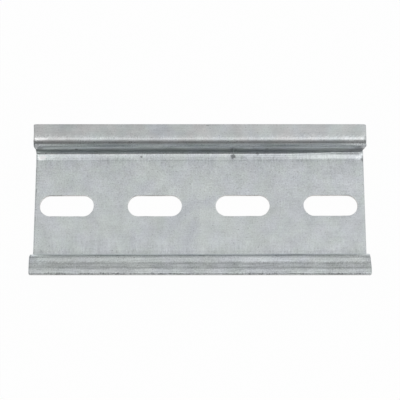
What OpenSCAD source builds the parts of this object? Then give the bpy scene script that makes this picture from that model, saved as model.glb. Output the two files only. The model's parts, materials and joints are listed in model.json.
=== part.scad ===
// Slotted top-hat mounting rail of the 35 x 7.5 mm size, roll-formed from one strip of zinc-plated steel.
// X runs along the rail, Y across it, and Z up from the back of the web to the front of the flanges.
// The origin is at the middle of the rail, on the back face of the web.

/* [Section] */
// Overall width across the two flanges
rail_w = 35; // [33:0.5:45]
// Outside width of the channel, from wall to wall
channel_w = 27.2; // [20:0.1:30]
// Height from the back of the web to the front of the flanges
rail_h = 7.5; // [6:0.5:15]
// Thickness of the strip
sheet_t = 1; // [0.8:0.1:1.5]
// Inside radius of the two bends beside the web
web_bend_r = 1; // [0.3:0.1:1.2]
// Inside radius of the two bends under the flanges
flange_bend_r = 0.9; // [0.3:0.1:1.2]
// Rounding of the strip's slit edges
slit_r = 0.15; // [0.05:0.05:0.3]

/* [Length] */
// Length the rail is cut to
rail_l = 76.2; // [40:0.1:200]
// Rounding of the four flange corners at the cut ends
corner_r = 0.3; // [0.2:0.1:2]

/* [Slots] */
// Distance between the middles of neighbouring slots
slot_pitch = 20.3; // [16:0.1:40]
// End-to-end length of a slot
slot_l = 12.5; // [8:0.5:15]
// Width of a slot, which is also the diameter of its round ends
slot_w = 5; // [4:0.1:7]
// Bevel that the punch rolls over at a slot's front edge
slot_bevel = 0.1; // [0.05:0.05:0.3]
// Shift of the slot row along the rail, as the cuts left it
slot_shift = -0.23; // [-0.4:0.01:0.4]
// Least metal between an end slot and the cut, before the shift
end_land = 1; // [0.8:0.1:5]

/* [Hidden] */
$fn = 64;

// Faces of one wall, measured from the middle of the rail
wall_in = channel_w / 2 - sheet_t;
wall_out = channel_w / 2;
// Half the flat part of the web
web_flat = wall_in - web_bend_r;
// Underside of a flange
flange_z = rail_h - sheet_t;
// Half the straight part of a slot
slot_run = (slot_l - slot_w) / 2;
// As many whole slots as the cut length holds
slot_n = 1 + floor((rail_l - slot_l - 2 * end_land) / slot_pitch);
// How far a cutter runs past the faces it cuts
over = 0.5;

// A quarter of a ring in the +X +Y corner, which is the section of one bend
module quarter_ring(inner_r, width) {
    intersection() {
        difference() {
            circle(inner_r + width);
            circle(inner_r);
        }
        square(inner_r + width);
    }
}

// A quarter of a disc in the +X +Y corner
module quarter_disc(r) {
    intersection() {
        circle(r);
        square(r);
    }
}

// Half of the section on the +X side, from the end of the flat web to the slit edge of the flange
module flank() {
    // Bend from the web up into the wall
    translate([web_flat, sheet_t + web_bend_r])
        mirror([0, 1])
            quarter_ring(web_bend_r, sheet_t);
    // Wall
    translate([wall_in, sheet_t + web_bend_r])
        square([sheet_t, flange_z - sheet_t - web_bend_r - flange_bend_r]);
    // Bend from the wall out into the flange
    translate([wall_out + flange_bend_r, flange_z - flange_bend_r])
        mirror([1, 0])
            quarter_ring(flange_bend_r, sheet_t);
    // Flange, up to where the slit edge starts to round
    translate([wall_out + flange_bend_r, flange_z])
        square([rail_w / 2 - wall_out - flange_bend_r - slit_r, sheet_t]);
    slit_edge();
}

// Edge of the strip, rounded at both faces
module slit_edge() {
    translate([rail_w / 2 - slit_r, flange_z + slit_r])
        square([slit_r, sheet_t - 2 * slit_r]);
    translate([rail_w / 2 - slit_r, rail_h - slit_r])
        quarter_disc(slit_r);
    translate([rail_w / 2 - slit_r, flange_z + slit_r])
        mirror([0, 1])
            quarter_disc(slit_r);
}

// The whole rolled section, with its back along the X axis
module section() {
    translate([-web_flat, 0])
        square([2 * web_flat, sheet_t]);
    for (side = [0, 1])
        mirror([side, 0])
            flank();
}

// The rolled stock, cut to length along X
module stock() {
    rotate([90, 0, 90])
        linear_extrude(rail_l, center = true)
            section();
}

// Plan of the cut length, with its four corners eased
module cut_plan() {
    square([rail_l - 2 * corner_r, rail_w + 2 * over], center = true);
    for (x_side = [0, 1], y_side = [0, 1])
        mirror([x_side, 0])
            mirror([0, y_side]) {
                translate([rail_l / 2 - corner_r, 0])
                    square([corner_r, rail_w / 2 - corner_r]);
                translate([rail_l / 2 - corner_r, rail_w / 2 - corner_r])
                    quarter_disc(corner_r);
            }
}

// Cutter for one slot: straight through the web, with a bevelled mouth on the front face
module slot_cutter() {
    translate([0, 0, -over])
        linear_extrude(sheet_t + 2 * over) {
            square([2 * slot_run, slot_w], center = true);
            for (side = [0, 1])
                mirror([side, 0])
                    translate([slot_run, 0])
                        intersection() {
                            circle(slot_w / 2);
                            translate([0, -slot_w])
                                square([slot_w, 2 * slot_w]);
                        }
        }
    // Mouth along the straight sides
    rotate([90, 0, 90])
        linear_extrude(2 * slot_run, center = true)
            polygon([
                [-slot_w / 2, sheet_t - slot_bevel],
                [slot_w / 2, sheet_t - slot_bevel],
                [slot_w / 2 + slot_bevel, sheet_t],
                [-slot_w / 2 - slot_bevel, sheet_t],
            ]);
    // Mouth around the two round ends
    for (end = [-1, 1])
        translate([end * slot_run, 0, sheet_t - slot_bevel])
            cylinder(h = slot_bevel, r1 = slot_w / 2, r2 = slot_w / 2 + slot_bevel);
}

// The rail: one strip of steel, rolled, punched and cut
module rail() {
    color([0.74, 0.76, 0.77])
        difference() {
            intersection() {
                stock();
                linear_extrude(rail_h)
                    cut_plan();
            }
            for (i = [0 : slot_n - 1])
                translate([(i - (slot_n - 1) / 2) * slot_pitch + slot_shift, 0, 0])
                    slot_cutter();
        }
}

rail();
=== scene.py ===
"""A slotted top-hat mounting rail, roll-formed from zinc-coated steel strip, in a small bright studio."""

import json
import math

import bpy
from bpy.props import FloatProperty, FloatVectorProperty, PointerProperty
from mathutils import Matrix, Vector, noise


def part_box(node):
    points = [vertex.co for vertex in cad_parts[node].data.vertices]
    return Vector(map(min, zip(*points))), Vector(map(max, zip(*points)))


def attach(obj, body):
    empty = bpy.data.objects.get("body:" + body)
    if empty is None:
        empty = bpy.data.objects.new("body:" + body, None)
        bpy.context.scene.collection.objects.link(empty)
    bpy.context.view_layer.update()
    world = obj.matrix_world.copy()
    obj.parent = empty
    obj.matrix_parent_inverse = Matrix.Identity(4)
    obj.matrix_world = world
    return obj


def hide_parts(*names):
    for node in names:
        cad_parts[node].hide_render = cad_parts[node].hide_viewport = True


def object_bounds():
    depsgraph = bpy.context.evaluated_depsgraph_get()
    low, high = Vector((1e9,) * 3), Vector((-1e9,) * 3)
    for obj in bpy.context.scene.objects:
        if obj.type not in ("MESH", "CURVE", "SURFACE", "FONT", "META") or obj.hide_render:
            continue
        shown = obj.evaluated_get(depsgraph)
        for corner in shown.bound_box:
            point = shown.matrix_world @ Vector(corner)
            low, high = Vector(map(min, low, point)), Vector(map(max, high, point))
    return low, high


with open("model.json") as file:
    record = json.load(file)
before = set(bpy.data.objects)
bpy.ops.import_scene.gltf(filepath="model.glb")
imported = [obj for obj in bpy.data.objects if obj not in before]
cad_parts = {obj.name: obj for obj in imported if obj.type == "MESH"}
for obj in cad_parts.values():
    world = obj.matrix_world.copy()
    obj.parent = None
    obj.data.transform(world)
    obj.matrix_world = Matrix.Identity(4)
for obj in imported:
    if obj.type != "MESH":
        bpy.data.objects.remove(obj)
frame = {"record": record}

bl_info = {
    "name": "Slotted Mounting Rail",
    "version": (1, 0, 0),
    "blender": (4, 5, 0),
    "location": "View3D > Sidebar > Rail",
    "description": "Rolls a zinc-coated mounting rail from flat strip, and sets up its studio",
    "category": "Object",
}

MM = 0.001
CAD_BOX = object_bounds()
CAD_LOW, CAD_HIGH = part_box("rail")
MOUNTS = {mount["name"]: mount for mount in frame["record"]["mounts"]}
SLOT_DIMS = MOUNTS["inner_slots"]["dims"]


# ---------------------------------------------------------------------------------------------------------
# Sizes, finishes and light that a user can change
# ---------------------------------------------------------------------------------------------------------


def length(name, description, default_mm):
    """A length property, with its default given in millimetres."""
    return FloatProperty(
        name=name, description=description, default=default_mm * MM, min=0.0, precision=5, unit="LENGTH"
    )


def share(name, description, default):
    """A property between nothing and all."""
    return FloatProperty(
        name=name, description=description, default=default, min=0.0, max=1.0, subtype="FACTOR"
    )


def colour(name, description, default):
    """A colour property in linear values."""
    return FloatVectorProperty(
        name=name, description=description, default=default, min=0.0, max=1.0, size=3, subtype="COLOR"
    )


class RailSizes(bpy.types.PropertyGroup):
    """Sizes of the rolled section that its outer box doesn't give."""

    sheet: length("Sheet", "Thickness of the strip", 1.0)
    channel: length("Channel", "Outside width of the channel at half its depth", 27.2)
    web_bend: length("Web bend", "Inside radius of the two bends beside the web", 1.0)
    flange_bend: length("Flange bend", "Inside radius of the two bends under the flanges", 0.9)
    overbend: FloatProperty(
        name="Overbend",
        description="How far the rolls bend each wall past square",
        default=math.radians(2.2),
        subtype="ANGLE",
    )
    corner: length("Corner", "Rounding of the four flange corners, seen from above", 0.3)
    end_edge: length("End edge", "Rounding of the front edge at the cut ends", 0.15)
    slit_edge: length("Slit edge", "Rounding of the front edge along the front flange's slit side", 0.28)
    slot_edge: length("Slot edge", "Rounding of the front edge round a slot", 0.06)
    back_edge: length("Back edge", "Rounding of the cut edges on the back face", 0.06)
    slot_pitch: length("Slot pitch", "Distance between neighbouring slots", SLOT_DIMS["spacing_x_mm"])
    slot_length: length("Slot length", "End-to-end length of a slot", SLOT_DIMS["slot_length_mm"])
    slot_width: length("Slot width", "Width of a slot", 2 * SLOT_DIMS["hole_r_mm"])


class RailMarks(bpy.types.PropertyGroup):
    """Small shapes that rolling, punching and cutting leave in the strip."""

    crown: length("Web crown", "How far the web rises beside its bends", 0.21)
    crown_reach: length("Crown reach", "How far the web's rise reaches in from its bends", 0.95)
    end_sink: length("End sink", "How far the front face sinks towards a cut end", 0.06)
    slot_sink: length("Slot sink", "How far the front face sinks towards a slot", 0.015)
    slot_drift: length("Slot drift", "How far the slots were punched off the middle, towards the front", 0.12)
    slot_wear: length("Slot wear", "Slow unevenness of the punched slots' outlines", 0.05)
    wander: length("Channel wander", "How far rolling moved the channel across the strip at its ends", 0.06)
    tight_bend: length("Tight bend", "How much tighter the back web bend is at its right end", 0.52)
    sheared: length("Sheared ends", "How far the shear pushed the cut ends out of line", 0.15)
    ripple: length("Flange ripple", "Height of the low rolled wave along the front flange", 0.012)
    waviness: length("Waviness", "Slow unevenness of the rolled sheet", 0.01)
    ragged: share("Ragged edge", "How uneven the rounding of the slit edges is", 0.6)


class RailFinish(bpy.types.PropertyGroup):
    """Colours and gloss of the zinc and of the bare cut steel."""

    zinc_blue: colour("Blue zinc", "Zinc where it leans to blue", (0.680, 0.714, 0.748))
    zinc_green: colour("Green zinc", "Zinc where it leans to green", (0.684, 0.738, 0.728))
    zinc_warm: colour("Warm zinc", "Zinc that leans to warm grey, mostly on flanges", (0.716, 0.722, 0.722))
    zinc_gloss: share("Zinc roughness", "Roughness of the zinc", 0.30)
    steel: colour("Cut steel", "Bare steel on the cut edges", (0.56, 0.55, 0.54))
    dirt: colour("Dirt", "Dirt and pits in the zinc", (0.10, 0.11, 0.11))


class StudioSettings(bpy.types.PropertyGroup):
    """Camera, floor and light."""

    camera_reach: length("Camera reach", "Distance from the camera to the rail", 278.4)
    camera_lean: FloatProperty(
        name="Camera lean",
        description="Lean of the view from straight down",
        default=math.radians(14.31),
        subtype="ANGLE",
    )
    lens: FloatProperty(name="Lens", description="Focal length", default=109.6, unit="CAMERA")
    floor: colour("Floor", "Colour of the studio's paper floor", (0.95, 0.95, 0.95))
    floor_width: length("Floor width", "Width of the studio's paper floor", 6000.0)


# ---------------------------------------------------------------------------------------------------------
# The flat blank, and how it is rolled
# ---------------------------------------------------------------------------------------------------------


def smooth(value):
    """An even rise from 0 to 1 as value goes from 0 to 1."""
    value = min(1.0, max(0.0, value))
    return value * value * (3.0 - 2.0 * value)


def hump(value, middle, reach):
    """A rounded hump, 1 high at the middle and 0 beyond its reach on either side."""
    return smooth(1.0 - abs(value - middle) / reach)


def fill(stops, steps):
    """The stops, with evenly spaced values between them that are no further apart than the steps."""
    line = [stops[0]]
    for start, end, step in zip(stops, stops[1:], steps):
        count = max(1, math.ceil((end - start) / step - 1e-6))
        line += [start + (end - start) * k / count for k in range(1, count + 1)]
    return line


def nearest(line, value):
    """Number of the line's entry that is nearest to the value."""
    return min(range(len(line)), key=lambda k: abs(line[k] - value))


# Where the shear pushed the ends: end (-1 left, 1 right), place and reach across half the strip, and push
SHEARED_PLACES = [
    (1, 0.620, 0.085, -1.2),
    (1, 0.775, 0.060, 1.0),
    (1, -0.960, 0.150, 1.1),
    (-1, 0.600, 0.040, 0.3),
    (-1, 0.680, 0.045, -0.9),
    (-1, 0.900, 0.130, -0.9),
]


class Blank:
    """The flat strip that the rail is rolled from. A point on it is x along the strip and s across it."""

    # How much further the front wall wandered at its right end than the channel did elsewhere
    FRONT_RIGHT_WANDER = 2.2
    # How far in from a cut end the shear's push and the front face's sink reach
    SHEARED_RUN = 3 * MM
    SINK_RUN = 1.5 * MM

    def __init__(self, sizes, marks):
        self.sizes = sizes
        self.marks = marks
        sheet = sizes.sheet
        height = CAD_HIGH.z - CAD_LOW.z
        half_width = (CAD_HIGH.y - CAD_LOW.y) / 2
        wall_out = sizes.channel / 2
        self.half_length = (CAD_HIGH.x - CAD_LOW.x) / 2
        turn = math.pi / 2 + sizes.overbend
        across, rise = math.sin(turn), 1.0 - math.cos(turn)
        web_r = sizes.web_bend + sheet / 2
        flange_r = sizes.flange_bend + sheet / 2
        wall = (height - sheet - (web_r + flange_r) * rise) / math.sin(turn)
        wall_y = wall_out - sheet / 2
        self.web = wall_y - web_r * across - wall / 2 * math.cos(turn)
        flange = half_width - wall_y - flange_r * across - wall / 2 * math.cos(turn)
        # Each run of half the section: its length along the middle of the sheet, and how far it turns
        self.runs = [
            (self.web, 0.0),
            (web_r * turn, turn),
            (wall, 0.0),
            (flange_r * turn, -turn),
            (flange, 0.0),
        ]
        self.ends = [sum(run[0] for run in self.runs[:k]) for k in range(1, len(self.runs) + 1)]
        self.half_width = self.ends[-1]
        middle = MOUNTS["inner_slots"]["pos_m"][0]
        self.slots = [middle + (k - 1.5) * sizes.slot_pitch for k in range(4)]
        self.slot_run = (sizes.slot_length - sizes.slot_width) / 2
        self.slot_s = -marks.slot_drift

    def section(self, s):
        """Place (y, z) and slope of the middle of the sheet at s."""
        y, z, slope, left = 0.0, self.sizes.sheet / 2, 0.0, abs(s)
        for run, turn in self.runs:
            part = min(left, run)
            if turn:
                radius = run / turn
                end = slope + part / radius
                y += radius * (math.sin(end) - math.sin(slope))
                z -= radius * (math.cos(end) - math.cos(slope))
                slope = end
            else:
                y += part * math.cos(slope)
                z += part * math.sin(slope)
            left -= part
            if left <= 0.0:
                break
        return math.copysign(y, s), z, math.copysign(slope, s)

    def slot_gap(self, x, s):
        """Distance from the nearest slot's edge."""
        near = min(self.slots, key=lambda slot: abs(x - slot))
        beyond = max(0.0, abs(x - near) - self.slot_run)
        return math.hypot(beyond, s - self.slot_s) - self.sizes.slot_width / 2

    def slot_wear(self, x, s):
        """How far a slot's outline strays from its true shape, seen from this point of its window."""
        return self.marks.slot_wear * noise.noise(Vector((x / (3.5 * MM), s / (3.5 * MM), 5.1)))

    def ease_corner(self, x, s):
        """Moves a point of the square mesh inside the blank's rounded corner."""
        r = self.sizes.corner
        u = (abs(x) - self.half_length) / r + 1.0
        v = (abs(s) - self.half_width) / r + 1.0
        if u <= 0.0 or v <= 0.0:
            return x, s
        pull = max(u, v) / math.hypot(u, v)
        x = math.copysign(self.half_length - r + u * pull * r, x)
        s = math.copysign(self.half_width - r + v * pull * r, s)
        return x, s

    def outline_gap(self, x, s):
        """Distances from the cut ends and from the slit edges, both with the rounded corner in them."""
        end_gap = self.half_length - abs(x)
        slit_gap = self.half_width - abs(s)
        r = self.sizes.corner
        if end_gap < r and slit_gap < r:
            corner_gap = r - math.hypot(r - end_gap, r - slit_gap)
            return corner_gap, corner_gap
        return end_gap, slit_gap

    def wander(self, x, s):
        """How far rolling moved the sheet across: the channel at its ends, and the tight bend."""
        marks = self.marks
        inside = smooth((self.half_width - abs(s)) / (self.half_width - self.ends[3]))
        right = smooth(x / self.half_length - 0.35)
        tight = marks.tight_bend * min(1.0, 2.2 * right) * hump(s, self.web + 0.5 * MM, 1.8 * MM)
        side = self.FRONT_RIGHT_WANDER if x > 0.0 > s else 1.0
        return marks.wander * side * inside * (x / self.half_length) + tight

    def sheared_x(self, x, s):
        """The place along the rail, with the cut ends pushed out of line by the shear."""
        push = 0.0
        for end, middle, reach, share_of in SHEARED_PLACES:
            near = smooth(1.0 - (self.half_length - end * x) / self.SHEARED_RUN) if end * x > 0.0 else 0.0
            push += end * near * share_of * hump(s, middle * self.half_width, reach * self.half_width)
        return x + self.marks.sheared * push

    def both_faces(self, x, s):
        """Relief that moves the whole thickness of the sheet."""
        marks = self.marks
        web_gap = self.web - abs(s)
        rise = marks.crown * smooth(1.0 - max(0.0, web_gap) / marks.crown_reach) ** 1.75
        rise *= smooth(1.0 + web_gap / self.runs[1][0])
        slow = noise.noise(Vector((x / (9 * MM), s / (5 * MM), 0.3)))
        return rise + marks.waviness * slow * smooth(self.outline_gap(x, s)[0] / (2 * MM))

    def flange_ripple(self, s):
        """Low wave that the rolls press along the front flange."""
        along = -s - self.ends[3]
        return self.marks.ripple * hump(along, 1.45 * MM, 1.45 * MM)

    def front_face(self, x, s):
        """How far the front face lies below the plain sheet, from its cut edges."""
        marks = self.marks
        end_gap, slit_gap = self.outline_gap(x, s)
        slot_gap = self.slot_gap(x, s)
        bent = hump(s, self.web - 0.4 * MM, 1.8 * MM) + hump(s, self.ends[3] - 0.3 * MM, 1.8 * MM)
        sink = marks.end_sink * (1.0 + bent) * max(0.0, 1.0 - end_gap / self.SINK_RUN) ** 2
        sink += marks.slot_sink * math.exp(-max(0.0, slot_gap) / (0.3 * MM))
        ragged = 1.0 + marks.ragged * noise.noise(Vector((x / (0.7 * MM), math.copysign(2.0, s), 1.7)))
        slit_edge = self.sizes.slit_edge * ragged if s < 0.0 else self.sizes.end_edge / 2
        edge = max(
            self.rolled(end_gap, self.sizes.end_edge),
            self.rolled(slit_gap, slit_edge),
            self.rolled(slot_gap, self.sizes.slot_edge),
        )
        return sink + edge

    def back_face(self, x, s):
        """How far the back face lies above the plain sheet, from its cut edges."""
        gap = min(*self.outline_gap(x, s), self.slot_gap(x, s))
        return self.rolled(gap, self.sizes.back_edge)

    @staticmethod
    def rolled(gap, radius):
        """Drop of a rounded edge at this gap from it."""
        if gap >= radius:
            return 0.0
        return radius - math.sqrt(max(0.0, radius**2 - (radius - gap) ** 2))

    def place(self, x, s, front):
        """The rolled place of a point of the blank, on its front or its back face."""
        y, z, slope = self.section(s)
        lift = self.both_faces(x, s)
        if front:
            lift += self.sizes.sheet / 2 - self.front_face(x, s) + self.flange_ripple(s)
        else:
            lift -= self.sizes.sheet / 2 - self.back_face(x, s)
        y += self.wander(x, s)
        return self.sheared_x(x, s), y - lift * math.sin(slope), max(0.0, z + lift * math.cos(slope))


class StripMesh:
    """Quads over the blank: a grid, with a set of rings round each slot in place of the grid's own cells."""

    # Metal inside a slot's window, beyond the slot's ends and sides
    CELL_ENDS = 1.1 * MM
    CELL_SIDES = 1.5 * MM
    # Greatest steps between the lines of points
    COLUMN_STEP = 0.34 * MM
    WEB_STEP = 0.42 * MM
    CROWN_STEP = 0.15 * MM
    WALL_STEP = 0.35 * MM
    FLANGE_STEP = 0.25 * MM
    # Steps round a bend beside the web, and round one under a flange
    WEB_BEND_STEPS = 12
    FLANGE_BEND_STEPS = 14
    # Width of the web's risen strip that has the closer lines
    CROWN_RUN = 1.2 * MM
    # Places of the plain rings between a slot's rounding and the grid
    RING_SHARES = (0.3, 0.62)
    # Gaps from a cut edge, in rounding radii, at which its rounding needs a line of points
    EDGE_STEPS = (0.0, 0.13, 0.5, 1.0, 1.8)

    def __init__(self, blank):
        self.blank = blank
        self.end_gaps = [blank.sizes.end_edge * step for step in self.EDGE_STEPS]
        self.slit_gaps = [blank.sizes.slit_edge * step for step in self.EDGE_STEPS]
        self.slot_gaps = [blank.sizes.slot_edge * step for step in (*self.EDGE_STEPS, 4.0, 8.0)]
        self.cell_x = blank.sizes.slot_length / 2 + self.CELL_ENDS
        self.cell_s = blank.sizes.slot_width / 2 + self.CELL_SIDES
        self.columns = self.column_lines()
        self.rows = self.row_lines()
        self.points = []
        self.index = {}
        self.faces = []

    def column_lines(self):
        """Places of the lines across the strip."""
        end = self.blank.half_length
        stops = [-end + gap for gap in self.end_gaps]
        for slot in self.blank.slots:
            stops += [slot - self.cell_x, slot + self.cell_x]
        stops += [end - gap for gap in reversed(self.end_gaps)]
        return fill(stops, [self.COLUMN_STEP] * (len(stops) - 1))

    def row_lines(self):
        """Places of the lines along the strip, closer together in the bends."""
        ends = self.blank.ends
        edge = ends[4]
        web_bend_step = (ends[1] - ends[0]) / self.WEB_BEND_STEPS
        flange_bend_step = (ends[3] - ends[2]) / self.FLANGE_BEND_STEPS
        stops = [self.cell_s, ends[0] - self.CROWN_RUN, ends[0], ends[1], ends[2], ends[3]]
        steps = [self.WEB_STEP, self.CROWN_STEP, web_bend_step, self.WALL_STEP, flange_bend_step]
        stops += [edge - gap for gap in reversed(self.slit_gaps)]
        steps += [self.FLANGE_STEP] * len(self.slit_gaps)
        half = fill(stops, steps)
        inner = fill([-self.cell_s, self.cell_s], [self.WEB_STEP])
        return [-s for s in reversed(half)] + inner[1:-1] + half

    def point(self, key, x, s):
        """The number of the point with this key, which is made at its first use."""
        if key not in self.index:
            self.index[key] = len(self.points)
            self.points.append((x, s))
        return self.index[key]

    def grid_point(self, i, j):
        """The number of the grid's point on column i and row j."""
        x, s = self.blank.ease_corner(self.columns[i], self.rows[j])
        return self.point((i, j), x, s)

    def build(self):
        """Makes the front face's points and quads."""
        cells = [self.slot_cell(slot) for slot in self.blank.slots]
        for i in range(len(self.columns) - 1):
            for j in range(len(self.rows) - 1):
                if not any(a <= i < b and c <= j < d for a, b, c, d in cells):
                    corners = ((i, j), (i + 1, j), (i + 1, j + 1), (i, j + 1))
                    self.faces.append([self.grid_point(*corner) for corner in corners])
        for number, (slot, cell) in enumerate(zip(self.blank.slots, cells)):
            self.ring_slot(number, slot, cell)

    def slot_cell(self, slot):
        """First and last column and row of the grid's window round a slot."""
        return (
            nearest(self.columns, slot - self.cell_x),
            nearest(self.columns, slot + self.cell_x),
            nearest(self.rows, -self.cell_s),
            nearest(self.rows, self.cell_s),
        )

    @staticmethod
    def window_rim(cell):
        """Columns and rows of the grid's points round a window, in order."""
        first, last, low, high = cell
        rim = [(i, low) for i in range(first, last)] + [(last, j) for j in range(low, high)]
        return rim + [(i, high) for i in range(last, first, -1)] + [(first, j) for j in range(high, low, -1)]

    def ring_place(self, slot, x, s, ring):
        """Place on a ring round a slot, in line with the grid's point at x, s."""
        blank = self.blank
        gaps = self.slot_gaps
        core = slot + max(-blank.slot_run, min(blank.slot_run, x - slot))
        out = Vector((x - core, s - blank.slot_s))
        reach = out.length
        at = blank.sizes.slot_width / 2 + blank.slot_wear(x, s) + gaps[min(ring, len(gaps) - 1)]
        if ring >= len(gaps):
            at += (reach - at) * self.RING_SHARES[ring - len(gaps)]
        place = out * (at / reach)
        return core + place.x, blank.slot_s + place.y

    def ring_slot(self, number, slot, cell):
        """Fills a window with rings of quads, from the slot's edge out to the grid."""
        rim = self.window_rim(cell)
        rings = []
        for ring in range(len(self.slot_gaps) + len(self.RING_SHARES)):
            places = [self.ring_place(slot, self.columns[i], self.rows[j], ring) for i, j in rim]
            rings.append([self.point(("slot", number, ring, k), *place) for k, place in enumerate(places)])
        rings.append([self.grid_point(i, j) for i, j in rim])
        for inner, outer in zip(rings, rings[1:]):
            for k in range(len(rim)):
                after = (k + 1) % len(rim)
                self.faces.append([inner[k], outer[k], outer[after], inner[after]])

    def solid(self):
        """Points and faces of the whole sheet, and which of its faces are cut edges."""
        count = len(self.points)
        points = [self.blank.place(x, s, True) for x, s in self.points]
        points += [self.blank.place(x, s, False) for x, s in self.points]
        back = [[count + k for k in reversed(face)] for face in self.faces]
        sides = {(face[k - 1], face[k]) for face in self.faces for k in range(4)}
        rim = [[b, a, count + a, count + b] for a, b in sorted(sides) if (b, a) not in sides]
        return points, self.faces + back + rim, len(rim)


# ---------------------------------------------------------------------------------------------------------
# Materials. Places in them are in millimetres
# ---------------------------------------------------------------------------------------------------------

# The feed roll's dots: pitch along the rail, step between rows, place of one row, and how dark they are
FEED_DOTS = {"pitch": 2.17, "row_step": 1.2, "row_y": 8.0, "depth": 0.16}

# Place, reach and tone of each spot; a tone under 1 darkens and one over 1 lightens. Some are dirt, stains
# and scratches, the others painted shade and painted highlights
SPOTS_AND_PAINTED_LIGHT = [
    # A dent in the web painted as a dark spot for its shade and dirt, the scratches on the wall above it,
    # stains, a lighter patch on the wall, and a painted highlight along the front flange's bend
    ((7.72, 11.66, 1.1), (0.68, 0.66, 0.8), 0.40),
    ((7.86, 12.60, 3.2), (0.16, 0.60, 2.0), 1.60),
    ((7.35, 12.60, 3.4), (0.36, 0.60, 1.4), 0.72),
    ((8.40, 12.60, 3.4), (0.30, 0.60, 1.2), 0.78),
    ((9.85, 11.45, 1.1), (0.55, 0.40, 0.8), 0.80),
    ((10.80, 12.60, 4.7), (1.50, 0.60, 0.45), 1.40),
    ((15.50, 12.60, 3.9), (0.50, 0.60, 0.55), 0.50),
    ((13.40, 12.20, 1.4), (0.50, 0.30, 0.60), 0.60),
    ((-28.50, 12.60, 3.8), (0.42, 0.60, 0.7), 0.35),
    ((-13.60, 11.55, 1.1), (0.32, 0.32, 0.6), 0.42),
    ((1.80, 17.20, 7.5), (0.40, 0.18, 0.6), 0.65),
    ((13.00, -14.00, 7.4), (11.0, 0.80, 1.2), 1.13),
    # Painted highlights (glints) at the ends of the back bends, and painted shade on the walls and rims
    # beside them and at the ends of the front bend
    ((-36.90, 13.95, 7.4), (2.2, 0.50, 0.8), 1.28),
    ((35.30, 13.95, 7.4), (3.5, 0.50, 0.8), 1.10),
    ((-36.90, 11.25, 1.2), (1.4, 0.70, 0.8), 1.40),
    ((-35.60, 11.25, 1.2), (1.8, 0.60, 0.8), 1.08),
    ((36.80, 11.20, 1.2), (0.9, 0.65, 0.8), 1.22),
    ((-38.30, 12.70, 4.8), (3.2, 0.90, 2.9), 0.58),
    ((38.50, 12.70, 4.8), (3.6, 0.90, 2.9), 0.52),
    ((38.20, 11.20, 1.2), (0.90, 0.95, 0.8), 0.52),
    ((38.20, 13.90, 7.4), (0.90, 0.75, 0.8), 0.58),
    ((-38.20, 11.20, 1.2), (0.80, 0.95, 0.8), 0.74),
    ((-38.20, 13.90, 7.4), (0.90, 0.75, 0.8), 0.68),
    ((-38.10, -13.90, 7.2), (2.6, 0.75, 0.8), 0.80),
    ((38.10, -13.90, 7.2), (2.6, 0.75, 0.8), 0.80),
]


class Shader:
    """A material's or world's node tree, and short ways to add to it."""

    def __init__(self, owner):
        owner.use_nodes = True
        self.tree = owner.node_tree
        self.tree.nodes.clear()

    def add(self, kind, inputs=None, **settings):
        """Adds a node, with its settings and its inputs: values, or other nodes' sockets."""
        node = self.tree.nodes.new(kind)
        for name, value in settings.items():
            setattr(node, name, value)
        for name, value in (inputs or {}).items():
            if isinstance(value, bpy.types.NodeSocket):
                self.tree.links.new(value, node.inputs[name])
            else:
                node.inputs[name].default_value = value
        return node

    def math(self, operation, *values, clamp=False):
        """A sum, product or the like of values and sockets."""
        node = self.add("ShaderNodeMath", dict(enumerate(values)), operation=operation, use_clamp=clamp)
        return node.outputs[0]

    def span(self, value, low, high, to_low=0.0, to_high=1.0, kind="LINEAR"):
        """Maps low..high to another range, and holds it there."""
        inputs = {"Value": value, "From Min": low, "From Max": high, "To Min": to_low, "To Max": to_high}
        return self.add("ShaderNodeMapRange", inputs, interpolation_type=kind).outputs["Result"]

    def stretch(self, vector, scale):
        """A vector scaled differently along X, Y and Z."""
        node = self.add("ShaderNodeVectorMath", {0: vector, 1: scale}, operation="MULTIPLY")
        return node.outputs["Vector"]

    def hump(self, value, middle, reach):
        """1 at the middle, falling smoothly to 0 at its reach on either side."""
        off = self.math("ABSOLUTE", self.math("SUBTRACT", value, middle))
        return self.span(off, 0.0, reach, 1.0, 0.0, "SMOOTHSTEP")

    def product(self, *values):
        """All of the values and sockets multiplied together."""
        total = values[0]
        for value in values[1:]:
            total = self.math("MULTIPLY", total, value)
        return total

    def cloud(self, vector, scale, detail=2.0, rough=0.5):
        """Soft noise between 0 and 1."""
        inputs = {"Vector": vector, "Scale": scale, "Detail": detail, "Roughness": rough}
        return self.add("ShaderNodeTexNoise", inputs).outputs["Fac"]

    def mix(self, factor, low, high):
        """A colour between two colours."""
        inputs = {"Factor": factor, "A": low, "B": high}
        node = self.tree.nodes.new("ShaderNodeMix")
        node.data_type = "RGBA"
        for name, value in inputs.items():
            socket = next(s for s in node.inputs if s.name == name and (name == "Factor" or s.type == "RGBA"))
            if isinstance(value, bpy.types.NodeSocket):
                self.tree.links.new(value, socket)
            else:
                socket.default_value = value
        return next(s for s in node.outputs if s.type == "RGBA")

    def blend(self, factor, low, high):
        """A value between two values."""
        return self.add("ShaderNodeMix", {0: factor, 2: low, 3: high}).outputs[0]

    def scaled(self, vector, factor):
        """A vector or colour, all of it scaled alike."""
        inputs = {0: vector, "Scale": factor}
        return self.add("ShaderNodeVectorMath", inputs, operation="SCALE").outputs["Vector"]

    def close_metal(self, tone, rough, bump):
        """Ends a metal's material, from its colour, roughness and fine bumps."""
        inputs = {"Base Color": tone, "Metallic": 1.0, "Roughness": rough, "Normal": bump.outputs["Normal"]}
        surface = self.add("ShaderNodeBsdfPrincipled", inputs)
        self.add("ShaderNodeOutputMaterial", {"Surface": surface.outputs["BSDF"]})

    def millimetres(self):
        """Places on the object, in millimetres."""
        place = self.add("ShaderNodeTexCoord").outputs["Object"]
        return self.stretch(place, (1000.0, 1000.0, 1000.0))


def rgba(value):
    """A colour with its opacity."""
    return (*value, 1.0)


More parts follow.
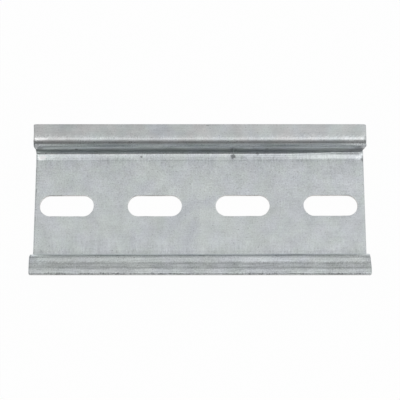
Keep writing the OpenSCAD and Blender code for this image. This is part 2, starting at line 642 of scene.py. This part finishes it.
def face_zones(sh, axes):
    """Which face a place is on, as factors: the web, the flanges, and the rail's back half."""
    return {
        "web": sh.span(axes["Z"], 1.3, 1.6, 1.0, 0.0),
        "flange": sh.span(axes["Z"], 6.6, 7.1),
        "back": sh.span(axes["Y"], -2.0, 4.0),
    }


def zinc_tone(sh, mm, zones):
    """The zinc's grain, where 1 is plain. It is rougher on the front flange and the web's back half."""
    fine = sh.cloud(mm, 3.2, 3.0, 0.6)
    middle = sh.cloud(mm, 1.1, 2.0, 0.55)
    broad = sh.cloud(mm, 0.3, 2.0, 0.5)
    on_web = sh.span(zones["back"], 0.0, 1.0, 0.85, 1.25)
    on_flange = sh.span(zones["back"], 0.0, 1.0, 1.25, 0.68)
    strength = sh.blend(zones["flange"], on_web, on_flange)
    grain = sh.math("ADD", sh.span(fine, 0.25, 0.75, -0.15, 0.15), sh.span(middle, 0.25, 0.75, -0.03, 0.03))
    grain = sh.math("ADD", sh.math("MULTIPLY", grain, strength), sh.span(broad, 0.3, 0.7, -0.07, 0.07))
    plain = sh.span(zones["back"], 0.0, 1.0, 0.975, 1.0)
    return sh.math("ADD", plain, grain), fine


def roll_streaks(sh, mm, axes, zones):
    """Streaks that the rolls rub along the walls, the bends and the front flange, faint elsewhere."""
    back_flange = sh.product(zones["back"], sh.span(axes["Z"], 7.1, 7.4))
    rolled = sh.product(sh.span(axes["Z"], 1.15, 1.9, 0.3, 1.0), sh.span(back_flange, 0.0, 1.0, 1.0, 0.4))
    streaks = sh.cloud(sh.stretch(mm, (0.16, 3.6, 3.6)), 1.0, 3.0, 0.6)
    return sh.math("MULTIPLY", sh.span(streaks, 0.3, 0.7, -0.13, 0.13), rolled), streaks


def cross_scuffs(sh, mm, axes, zones):
    """Short scuffs across the web, where it drags on the rolls beside its bends."""
    aside = sh.math("ABSOLUTE", axes["Y"])
    near_bend = sh.span(aside, 6.5, 10.5, 0.25, 1.0)
    scuffs = sh.cloud(sh.stretch(mm, (2.4, 0.5, 0.5)), 1.0, 2.0, 0.6)
    ticks = sh.cloud(sh.stretch(mm, (4.0, 0.7, 0.0)), 1.0, 2.0, 0.6)
    patches = sh.span(sh.cloud(sh.stretch(mm, (0.14, 0.14, 0.0)), 1.0, 1.0), 0.42, 0.55)
    beside_bend = sh.product(sh.hump(aside, 11.0, 1.3), patches)
    scuffing = sh.product(sh.span(scuffs, 0.3, 0.7, -0.08, 0.08), near_bend)
    ticking = sh.product(sh.span(ticks, 0.3, 0.7, -0.13, 0.13), beside_bend)
    return sh.product(sh.math("ADD", scuffing, ticking), zones["web"])


def painted_web_highlights(sh, mm, axes, zones):
    """Painted highlights on the web beside its bends, brighter towards the ends, and a darker strip inside
    them.
    """
    aside = sh.math("ABSOLUTE", axes["Y"])
    patchy = sh.span(sh.cloud(sh.stretch(mm, (0.7, 1.6, 1.0)), 1.0, 2.0, 0.6), 0.35, 0.65, 0.5, 1.4)
    middle_gap = sh.math("ABSOLUTE", axes["X"])
    # Painted highlight: a bright line along the web's edge beside each bend, and a glint towards each end
    painted_edge_highlight = sh.product(sh.hump(aside, 12.08, 0.30), patchy, sh.span(zones["back"], 0.0, 1.0, 0.05, 0.27))
    painted_end_glint = sh.product(sh.hump(aside, 11.55, 0.65), sh.span(middle_gap, 12.0, 26.0, 0.0, 0.14))
    darker_strip = sh.product(sh.hump(aside, 10.95, 0.50), sh.span(middle_gap, 18.0, 30.0, 0.17, 0.02))
    inner = sh.product(sh.math("SUBTRACT", painted_end_glint, darker_strip), zones["back"])
    return sh.product(sh.math("ADD", painted_edge_highlight, inner), zones["web"])


def wall_shade_and_streak(sh, mm, axes):
    """Painted shade in the corner at each wall's foot, and a lighter streak near its top: a factor."""
    along = sh.cloud(sh.stretch(mm, (0.25, 1.5, 1.5)), 1.0, 2.0, 0.6)
    # At the left end the painted shade reaches less high, and the streak lies lower and is stronger
    left_end = (-34.0, -16.0)
    above_dirt = sh.math("SUBTRACT", axes["Z"], sh.span(axes["X"], *left_end, 3.2, 3.9))
    foot = sh.product(sh.span(axes["Z"], 1.60, 2.20), sh.span(above_dirt, 0.0, 1.0, 1.0, 0.0))
    # Painted shade in the corner at the wall's foot, stronger towards the right end
    dirt = sh.product(foot, sh.span(along, 0.3, 0.7, 0.22, 0.48), sh.span(axes["X"], 22.0, 34.0, 1.0, 1.6))
    above_streak = sh.math("SUBTRACT", axes["Z"], sh.span(axes["X"], *left_end, 4.9, 6.0))
    streak_strength = sh.product(sh.span(along, 0.35, 0.65, 0.34, 0.04), sh.span(axes["X"], *left_end, 2.4, 1.0))
    streak_strength = sh.product(streak_strength, sh.span(axes["X"], 0.0, 15.0, 1.0, 0.4))
    streak = sh.product(sh.hump(above_streak, 0.0, 0.9), streak_strength)
    return sh.math("ADD", 1.0, sh.math("SUBTRACT", streak, dirt))


def bend_highlights_and_cracks(sh, mm, axes):
    """Painted highlight in tufts at the top of each flange bend, brighter towards the ends; speckles and a
    band of painted light at the back one; and fine cracks.
    """
    aside = sh.math("ABSOLUTE", axes["Y"])
    bend = sh.span(axes["Z"], 6.2, 6.5)
    turned = {"Vector": mm, "Rotation": (0.0, 0.0, math.radians(-40))}
    slanted = sh.add("ShaderNodeMapping", turned).outputs[0]
    brush = sh.cloud(sh.stretch(slanted, (0.8, 2.6, 0.0)), 1.0, 2.0, 0.6)
    reach = sh.math("ADD", aside, sh.span(brush, 0.3, 0.7, 0.55, -0.75))
    bright = sh.span(sh.math("ABSOLUTE", axes["X"]), 10.0, 34.0, 0.06, 0.20)
    # Painted highlight: bright tufts along the top of each flange bend
    tufts = sh.product(sh.span(reach, 14.3, 14.9, 1.0, 0.0), sh.span(aside, 13.6, 13.9), bright)
    patches = sh.span(sh.cloud(sh.stretch(mm, (0.16, 0.16, 0.0)), 1.0, 1.0), 0.48, 0.60)
    cracks = sh.span(sh.cloud(mm, 4.5, 2.0, 0.5), 0.34, 0.44, 0.50, -0.10)
    above_wall = sh.span(axes["Z"], 5.2, 5.6)
    crackle = sh.product(cracks, patches, sh.hump(aside, 13.35, 0.75), above_wall)
    # Painted light on the lower part of the back flange bend, lifting its dark band
    rub = sh.product(sh.hump(axes["Y"], 13.13, 0.34), above_wall, sh.span(axes["X"], 5.0, 28.0, 0.18, 0.34))
    dots = sh.span(sh.cloud(mm, 3.8, 1.0), 0.32, 0.68, -0.22, 0.22)
    dots = sh.product(dots, sh.hump(axes["Y"], 14.2, 0.9), sh.span(brush, 0.40, 0.60), bend)
    light = sh.math("ADD", sh.math("ADD", sh.product(tufts, bend), dots), rub)
    return sh.math("SUBTRACT", light, crackle)


def rim_shade_and_wear(sh, mm, axes):
    """Painted shade in a thin dark rim at the cut ends and along the slit edges, ragged and in patches along
    the front slit edge, where the zinc is also worn: a factor under 1 close to them.
    """
    chips = sh.cloud(mm, 2.2, 2.0, 0.6)
    end_gap = sh.math("SUBTRACT", CAD_HIGH.x / MM, sh.math("ABSOLUTE", axes["X"]))
    # Painted shade: a thin dark rim along both cut ends
    end = sh.product(sh.span(end_gap, 0.05, 0.32, 1.0, 0.0), sh.span(axes["X"], -10.0, 10.0, 0.10, 0.16))
    slit_gap = sh.math("SUBTRACT", CAD_HIGH.y / MM, sh.math("ABSOLUTE", axes["Y"]))
    ragged_gap = sh.math("ADD", slit_gap, sh.span(chips, 0.3, 0.7, -0.20, 0.20))
    patches = sh.span(sh.cloud(sh.stretch(mm, (0.12, 0.0, 0.0)), 1.0, 1.0), 0.40, 0.55, 0.04, 0.34)
    front = sh.product(sh.span(axes["Y"], -5.0, 5.0, 1.0, 0.0), patches)
    depth = sh.product(sh.math("ADD", front, 0.06), sh.span(chips, 0.35, 0.65, 1.6, 0.2))
    slit = sh.product(sh.span(ragged_gap, 0.10, 0.45, 1.0, 0.0), depth)
    return sh.math("SUBTRACT", 1.0, sh.math("MAXIMUM", end, slit))


def darkened_flanges(sh, mm, axes, zones):
    """Flanges made darker: the back one more towards the left, the front one on its outer strip and towards
    its ends.
    """
    back = sh.product(zones["back"], sh.span(axes["X"], -36.0, 30.0, 0.13, 0.03))
    front = sh.math("SUBTRACT", 1.0, zones["back"])
    strokes = sh.cloud(sh.stretch(mm, (0.6, 2.2, 0.0)), 1.0, 2.0, 0.65)
    outer = sh.span(axes["Y"], -16.5, -16.2, 1.0, 0.0)
    stroked = sh.span(strokes, 0.3, 0.68, 0.18, -0.08)
    strip = sh.product(outer, stroked, sh.span(axes["X"], -30.0, 0.0, 0.6, 1.0))
    beside_bend = sh.span(axes["Y"], -15.0, -14.6)
    towards_ends = sh.product(sh.span(sh.math("ABSOLUTE", axes["X"]), 14.0, 30.0, 0.0, 0.08), beside_bend)
    front = sh.product(front, sh.math("ADD", sh.math("ADD", 0.05, towards_ends), strip))
    return sh.product(sh.math("ADD", back, front), zones["flange"])


def feed_dots(sh, mm, axes, zones):
    """Faint staggered dots that a knurled feed roll leaves on the web."""
    row_place = sh.math("DIVIDE", sh.math("SUBTRACT", axes["Y"], FEED_DOTS["row_y"]), FEED_DOTS["row_step"])
    row = sh.math("ROUND", row_place)
    off_row = sh.math("MULTIPLY", sh.math("SUBTRACT", row_place, row), FEED_DOTS["row_step"])
    turn = sh.math("ADD", sh.math("DIVIDE", axes["X"], FEED_DOTS["pitch"]), sh.math("MULTIPLY", row, 0.5))
    off = sh.math("SUBTRACT", sh.math("FRACT", turn), 0.5)
    off_dot = sh.math("MULTIPLY", off, FEED_DOTS["pitch"])
    reach = sh.math("SQRT", sh.math("ADD", sh.math("POWER", off_row, 2.0), sh.math("POWER", off_dot, 2.0)))
    dot = sh.span(reach, 0.10, 0.30, 1.0, 0.0, "SMOOTHSTEP")
    strong_rows = sh.span(sh.math("ABSOLUTE", sh.math("SUBTRACT", axes["Y"], 8.6)), 0.9, 1.6, 1.0, 0.25)
    patchy = sh.span(sh.cloud(mm, 0.5, 1.0), 0.42, 0.62)
    return sh.product(dot, strong_rows, patchy, zones["web"], FEED_DOTS["depth"])


def painted_flange_band(sh, mm, axes, zones):
    """Painted shade: a dark band along the front flange, standing in for the shade of its low rolled wave,
    darker along both of its sides.
    """
    waver = sh.cloud(sh.stretch(mm, (0.22, 0.0, 0.0)), 1.0, 3.0, 0.7)
    out = sh.math("ADD", sh.math("MULTIPLY", axes["Y"], -1.0), sh.span(waver, 0.3, 0.7, -0.08, 0.08))
    inner = sh.span(out, 14.40, 14.75, kind="SMOOTHSTEP")
    outer = sh.span(out, 16.22, 16.45, 1.0, 0.0, "SMOOTHSTEP")
    seams = sh.math("ADD", sh.hump(out, 15.00, 0.22), sh.hump(out, 15.92, 0.26))
    depth = sh.span(seams, 0.0, 1.0, 0.21, 0.33)
    return sh.product(inner, outer, depth, zones["flange"])


def pits(sh, mm):
    """Small dark pits, in some cells of a scatter."""
    cells = sh.add("ShaderNodeTexVoronoi", {"Vector": mm, "Scale": 0.9}, feature="F1")
    chosen = sh.add("ShaderNodeSeparateColor", {0: cells.outputs["Color"]}).outputs["Red"]
    size = sh.span(chosen, 0.72, 1.0, 0.0, 0.17)
    edge = sh.math("SUBTRACT", size, cells.outputs["Distance"])
    return sh.span(edge, 0.0, 0.05)


def spot_tones_and_painted_light(sh, mm):
    """Dirt, stains, painted shade and painted highlights at their own places: a factor for the zinc's tone.
    """
    tone = None
    for place, reach, depth in SPOTS_AND_PAINTED_LIGHT:
        off = sh.add("ShaderNodeVectorMath", {0: mm, 1: place}, operation="SUBTRACT").outputs["Vector"]
        off = sh.add("ShaderNodeVectorMath", {0: off, 1: reach}, operation="DIVIDE").outputs["Vector"]
        away = sh.add("ShaderNodeVectorMath", {0: off}, operation="LENGTH").outputs["Value"]
        ragged = sh.math("ADD", away, sh.span(sh.cloud(mm, 3.0), 0.3, 0.7, -0.25, 0.25))
        factor = sh.span(ragged, 0.55, 1.05, depth, 1.0, "SMOOTHSTEP")
        tone = factor if tone is None else sh.math("MULTIPLY", tone, factor)
    return tone


def zinc_colour(sh, mm, axes, zones, finish):
    """The zinc's colour: it drifts from blue to green, and has warm patches, most on the back flange."""
    drift = sh.cloud(mm, 0.22, 3.0, 0.6)
    drift = sh.math("ADD", drift, sh.span(axes["X"], -38.0, 38.0, 0.03, -0.03))
    zinc = sh.mix(sh.span(drift, 0.38, 0.62), rgba(finish.zinc_blue), rgba(finish.zinc_green))
    warm = sh.span(sh.cloud(mm, 0.19, 2.0, 0.55), 0.35, 0.65)
    on_flange = sh.span(zones["back"], 0.0, 1.0, 0.35, 1.0)
    warm_share = sh.blend(zones["flange"], 0.25, on_flange)
    return sh.mix(sh.product(warm, warm_share), zinc, rgba(finish.zinc_warm))


def zinc_material(finish):
    """Zinc coating: mottled, streaked along the rail where the rolls rubbed it, with small dark pits, and
    with painted highlights and painted shade in its colour.
    """
    material = bpy.data.materials.new("zinc_coating")
    sh = Shader(material)
    mm = sh.millimetres()
    axes = sh.add("ShaderNodeSeparateXYZ", {0: mm}).outputs
    zones = face_zones(sh, axes)
    tone, grain = zinc_tone(sh, mm, zones)
    streak_depth, streaks = roll_streaks(sh, mm, axes, zones)
    for lighter in (streak_depth, cross_scuffs(sh, mm, axes, zones), painted_web_highlights(sh, mm, axes, zones)):
        tone = sh.math("ADD", tone, lighter)
    tone = sh.math("ADD", tone, bend_highlights_and_cracks(sh, mm, axes))
    for darker in (feed_dots, painted_flange_band, darkened_flanges):
        tone = sh.math("SUBTRACT", tone, darker(sh, mm, axes, zones))
    tone = sh.product(tone, wall_shade_and_streak(sh, mm, axes), rim_shade_and_wear(sh, mm, axes), spot_tones_and_painted_light(sh, mm))
    shade = sh.scaled(zinc_colour(sh, mm, axes, zones, finish), tone)
    coat = sh.mix(sh.math("MULTIPLY", pits(sh, mm), 0.35), shade, rgba(finish.dirt))
    rough = sh.span(grain, 0.3, 0.7, finish.zinc_gloss - 0.03, finish.zinc_gloss + 0.05)
    height = sh.math("ADD", sh.math("MULTIPLY", grain, 0.7), sh.math("MULTIPLY", streaks, 0.3))
    bump = sh.add("ShaderNodeBump", {"Strength": 0.5, "Distance": 0.00004, "Height": height})
    sh.close_metal(coat, rough, bump)
    return material


def cut_steel_material(finish):
    """Bare steel on the slit, punched and cut edges, scored through the sheet's thickness."""
    material = bpy.data.materials.new("cut_steel")
    sh = Shader(material)
    mm = sh.millimetres()
    aside = sh.math("ABSOLUTE", sh.add("ShaderNodeSeparateXYZ", {0: mm}).outputs["Y"])
    scores = sh.cloud(sh.stretch(mm, (6.0, 6.0, 0.8)), 1.0, 2.0, 0.6)
    tone = sh.product(sh.span(scores, 0.3, 0.7, 0.75, 1.15), sh.span(aside, 6.0, 15.0, 1.12, 0.80))
    bump = sh.add("ShaderNodeBump", {"Strength": 0.4, "Distance": 0.00005, "Height": scores})
    sh.close_metal(sh.scaled(tuple(finish.steel), tone), sh.span(scores, 0.3, 0.7, 0.38, 0.55), bump)
    return material


# Share of the paper that stays plain white to the eye and in the metal. The rest takes the rail's shadow
PAPER_GLOW = 0.965


def floor_material(studio):
    """White paper that stays white to the eye and in the metal, and keeps part of the rail's shadow."""
    material = bpy.data.materials.new("paper_floor")
    sh = Shader(material)
    paper = sh.add("ShaderNodeBsdfDiffuse", {"Color": rgba(studio.floor)})
    glow = sh.add("ShaderNodeEmission", {"Color": (1.0, 1.0, 1.0, 1.0), "Strength": 1.0})
    path = sh.add("ShaderNodeLightPath").outputs
    seen = sh.math("MAXIMUM", path["Is Camera Ray"], path["Is Glossy Ray"])
    seen = sh.math("MAXIMUM", seen, path["Is Transmission Ray"])
    factor = sh.math("MULTIPLY", seen, PAPER_GLOW)
    blend = sh.add("ShaderNodeMixShader", {0: factor, 1: paper.outputs[0], 2: glow.outputs[0]})
    sh.add("ShaderNodeOutputMaterial", {"Surface": blend.outputs[0]})
    return material


# ---------------------------------------------------------------------------------------------------------
# Operators: one for the rail and one for the stage
# ---------------------------------------------------------------------------------------------------------


class RAIL_OT_roll(bpy.types.Operator):
    """Cut, punch and roll the strip into the rail, with its zinc and its bare cut edges"""

    bl_idname = "rail.roll"
    bl_label = "Roll the Rail"
    bl_options = {"REGISTER", "UNDO"}

    def execute(self, context):
        scene = context.scene
        blank = Blank(scene.rail_sizes, scene.rail_marks)
        strip = StripMesh(blank)
        strip.build()
        points, faces, cut_faces = strip.solid()
        mesh = bpy.data.meshes.new("rolled_rail")
        mesh.from_pydata(points, [], faces)
        if mesh.validate():
            raise RuntimeError("the rail's mesh has faulty faces")
        mesh.materials.append(zinc_material(scene.rail_finish))
        mesh.materials.append(cut_steel_material(scene.rail_finish))
        coated = len(faces) - cut_faces
        mesh.polygons.foreach_set("material_index", [0] * coated + [1] * cut_faces)
        mesh.polygons.foreach_set("use_smooth", [True] * len(faces))
        mesh.update()
        rail = bpy.data.objects.new("rolled_rail", mesh)
        scene.collection.objects.link(rail)
        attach(rail, "root")
        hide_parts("rail")
        self.report({"INFO"}, f"{len(faces)} faces")
        return {"FINISHED"}


# The sky over the rail. A lean is in degrees from the zenith, towards the camera's side.
# The room is pale behind the rail and dark on the camera's side, and its tone falls between two leans
BACK_ROOM_TONE = 0.60
FRONT_ROOM_TONE = 0.25
ROOM_FALL = (10, 44)
# Lights added to the room's tone, and the dark behind the camera: lean, reach and strength of each
SKY_LIGHTS = {
    "back window": (-45, 22, 0.18),
    "overhead lamp": (8, 32, 0.37),
    "dark behind the camera": (68, 14, -0.20),
    "front table": (90, 12, 0.45),
}
# Tone of the sky towards the rail's two ends, and how much lighter the right side is than the left
END_TONE = 0.55
RIGHT_GAIN = 0.2
# The two lamps beside the camera: how far out and how wide they are, their lean and its reach, and tone
SIDE_LAMPS = {"out": 0.56, "width": 0.30, "lean": 14, "reach": 30, "tone": 1.5}
# What the camera looks at, from the middle of the rail's box, in millimetres
CAMERA_AIM = (0.055, 0.51, 0.0)


class RAIL_OT_set_stage(bpy.types.Operator):
    """Lay the paper floor, and set up the sky, the lamp and the camera"""

    bl_idname = "rail.set_stage"
    bl_label = "Set the Stage"
    bl_options = {"REGISTER", "UNDO"}

    def execute(self, context):
        scene = context.scene
        studio = scene.rail_studio
        self.lay_floor(scene, studio)
        self.light(scene)
        self.place_camera(scene, studio)
        scene.view_settings.view_transform = "Standard"
        return {"FINISHED"}

    def lay_floor(self, scene, studio):
        """A wide sheet of paper just under the rail."""
        half = studio.floor_width / 2
        low = -0.05 * MM
        corners = [(-half, -half, low), (half, -half, low), (half, half, low), (-half, half, low)]
        mesh = bpy.data.meshes.new("paper_floor")
        mesh.from_pydata(corners, [], [(0, 1, 2, 3)])
        mesh.materials.append(floor_material(studio))
        floor = bpy.data.objects.new("paper_floor", mesh)
        scene.collection.objects.link(floor)

    def light(self, scene):
        """A room with a long soft lamp over the rail, and a smaller lamp on either side of the camera."""
        world = bpy.data.worlds.new("studio_sky")
        sh = Shader(world)
        way = sh.add("ShaderNodeTexCoord").outputs["Generated"]
        axes = sh.add("ShaderNodeSeparateXYZ", {0: way}).outputs
        turn = sh.math("ARCTAN2", sh.math("MULTIPLY", axes["Y"], -1.0), axes["Z"])
        lean = sh.span(turn, -math.pi / 2, math.pi / 2, -90.0, 90.0)
        aside = sh.math("ABSOLUTE", axes["X"])
        far = sh.span(aside, 0.55, 0.95, kind="SMOOTHSTEP")
        tone = sh.blend(far, self.room_tone(sh, lean), END_TONE)
        tone = sh.product(tone, sh.math("ADD", 1.0, sh.math("MULTIPLY", axes["X"], RIGHT_GAIN)))
        tone = sh.blend(self.side_lamps(sh, aside, lean), tone, SIDE_LAMPS["tone"])
        sky = sh.add("ShaderNodeBackground", {"Color": tone})
        sh.add("ShaderNodeOutputWorld", {"Surface": sky.outputs[0]})
        scene.world = world

    @staticmethod
    def room_tone(sh, lean):
        """Tone of the sky over the rail's width: the room, with its lights added."""
        tone = sh.span(lean, *ROOM_FALL, BACK_ROOM_TONE, FRONT_ROOM_TONE, "SMOOTHSTEP")
        for middle, reach, strength in SKY_LIGHTS.values():
            tone = sh.math("ADD", tone, sh.product(sh.hump(lean, middle, reach), strength))
        return tone

    @staticmethod
    def side_lamps(sh, aside, lean):
        """1 in the two soft lamps beside the camera, and 0 away from them."""
        off = sh.math("DIVIDE", sh.math("SUBTRACT", aside, SIDE_LAMPS["out"]), SIDE_LAMPS["width"])
        tilt = sh.math("DIVIDE", sh.math("SUBTRACT", lean, SIDE_LAMPS["lean"]), SIDE_LAMPS["reach"])
        reach = sh.math("SQRT", sh.math("ADD", sh.math("POWER", off, 2.0), sh.math("POWER", tilt, 2.0)))
        return sh.span(reach, 1.0, 0.45, kind="SMOOTHSTEP")

    def place_camera(self, scene, studio):
        """A long lens above the rail, leaning a little towards its front."""
        middle = (CAD_BOX[0] + CAD_BOX[1]) / 2
        aim = middle + Vector(CAMERA_AIM) * MM
        back = Vector((0.0, -math.sin(studio.camera_lean), math.cos(studio.camera_lean)))
        data = bpy.data.cameras.new("camera")
        data.lens = studio.lens
        data.sensor_width = 36.0
        data.clip_start = 0.01
        camera = bpy.data.objects.new("camera", data)
        camera.location = aim + back * studio.camera_reach
        camera.rotation_euler = (studio.camera_lean, 0.0, 0.0)
        scene.collection.objects.link(camera)
        scene.camera = camera


class RAIL_PT_panel(bpy.types.Panel):
    """Lists the rail's settings and the operators that build it"""

    bl_idname = "RAIL_PT_panel"
    bl_label = "Slotted Rail"
    bl_space_type = "VIEW_3D"
    bl_region_type = "UI"
    bl_category = "Rail"

    def draw(self, context):
        """Shows each group of settings, then a button for each operator."""
        scene = context.scene
        for group in (scene.rail_sizes, scene.rail_marks, scene.rail_finish, scene.rail_studio):
            box = self.layout.box()
            for name in group.__annotations__:
                box.prop(group, name)
        for operator in (RAIL_OT_roll, RAIL_OT_set_stage):
            self.layout.operator(operator.bl_idname)


GROUPS = {
    "rail_sizes": RailSizes,
    "rail_marks": RailMarks,
    "rail_finish": RailFinish,
    "rail_studio": StudioSettings,
}
CLASSES = (*GROUPS.values(), RAIL_OT_roll, RAIL_OT_set_stage, RAIL_PT_panel)


def register():
    """Adds the classes, and the settings to the scene."""
    for cls in CLASSES:
        bpy.utils.register_class(cls)
    for name, group in GROUPS.items():
        setattr(bpy.types.Scene, name, PointerProperty(type=group))


def unregister():
    """Takes the settings and the classes away again."""
    for name in GROUPS:
        delattr(bpy.types.Scene, name)
    for cls in reversed(CLASSES):
        bpy.utils.unregister_class(cls)


def main():
    """Builds the stage and the rail."""
    register()
    bpy.ops.rail.set_stage()
    bpy.ops.rail.roll()


if __name__ == "__main__":
    main()
